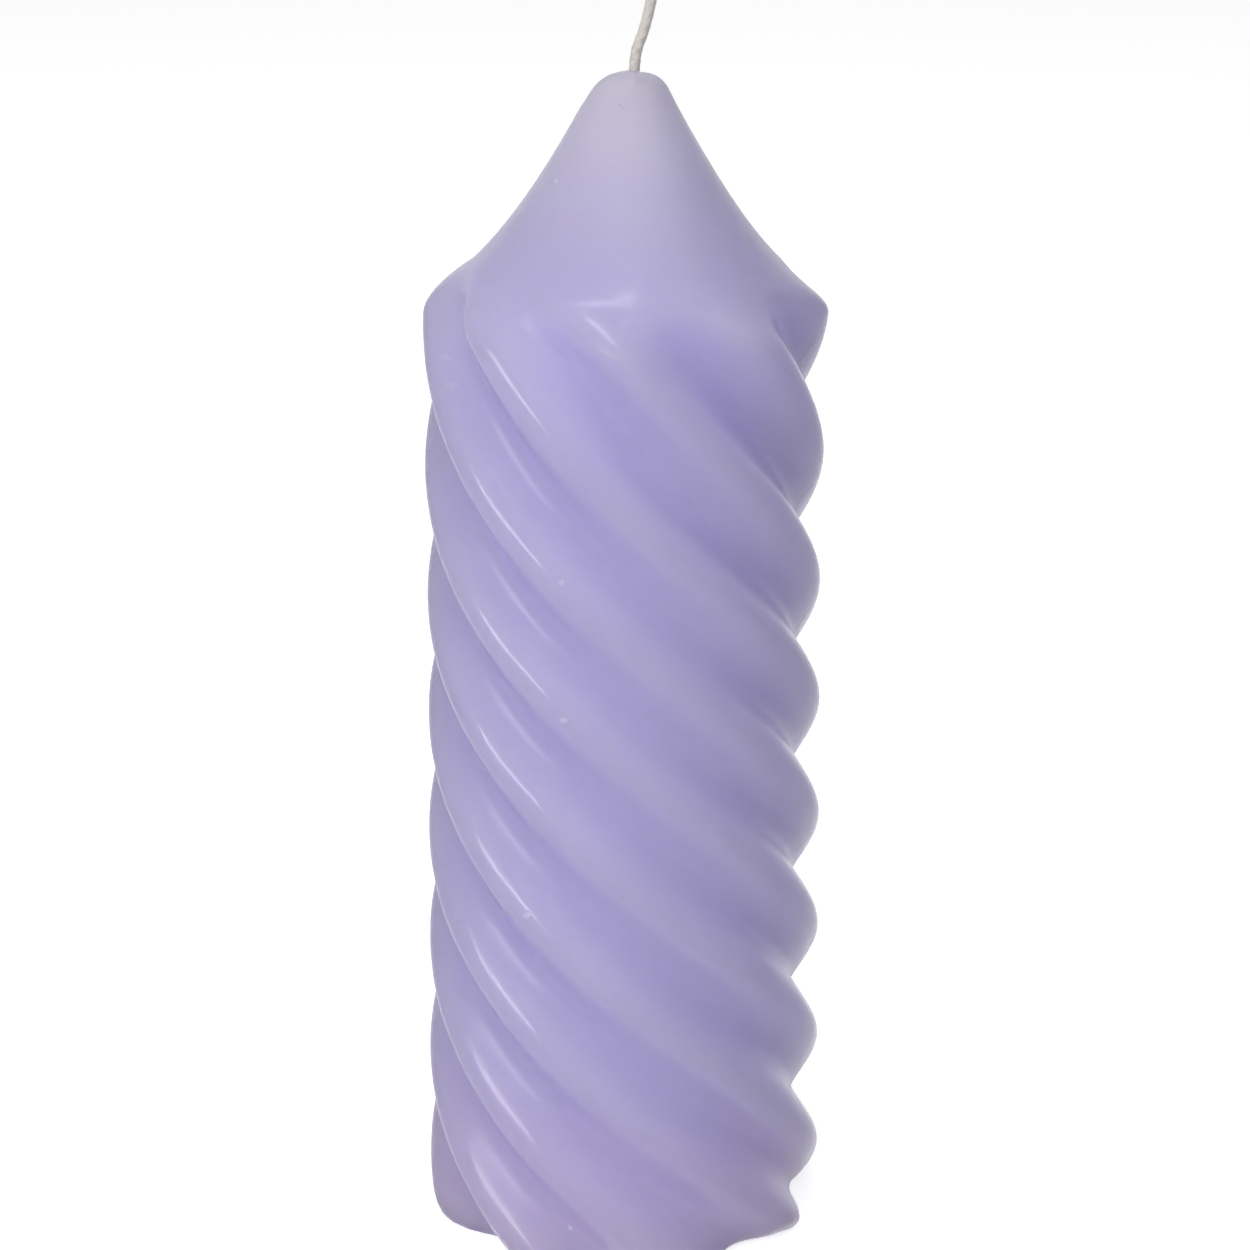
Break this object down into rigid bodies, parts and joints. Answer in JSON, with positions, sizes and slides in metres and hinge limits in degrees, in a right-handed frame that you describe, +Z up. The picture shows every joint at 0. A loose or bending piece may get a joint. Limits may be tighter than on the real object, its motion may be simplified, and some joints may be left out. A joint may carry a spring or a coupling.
{
  "type": "pillar candle",
  "caption": "Tall pillar candle with rounded flutes twisted left-handed up its side, a hollow-flanked pointed crown, and a long cotton wick standing out of the tip.",
  "frame": {"origin": "centre of the base, on the surface the candle stands on", "axes": "+Z up along the pillar's axis towards the tip; +X is the side the wick leans to, the picture's right; the picture looks along +Y"},
  "size_m": [0.0696, 0.0696, 0.2248],
  "materials": {
    "wax": "translucent lilac candle wax, satin gloss",
    "wick_cotton": "off-white braided cotton stiffened with wax",
    "tinplate": "stamped tinplate, satin"
  },
  "bodies": {
    "root": {"wax_body": "wax", "wick": "wick_cotton", "wick_sustainer": "tinplate"}
  },
  "joints": []
}
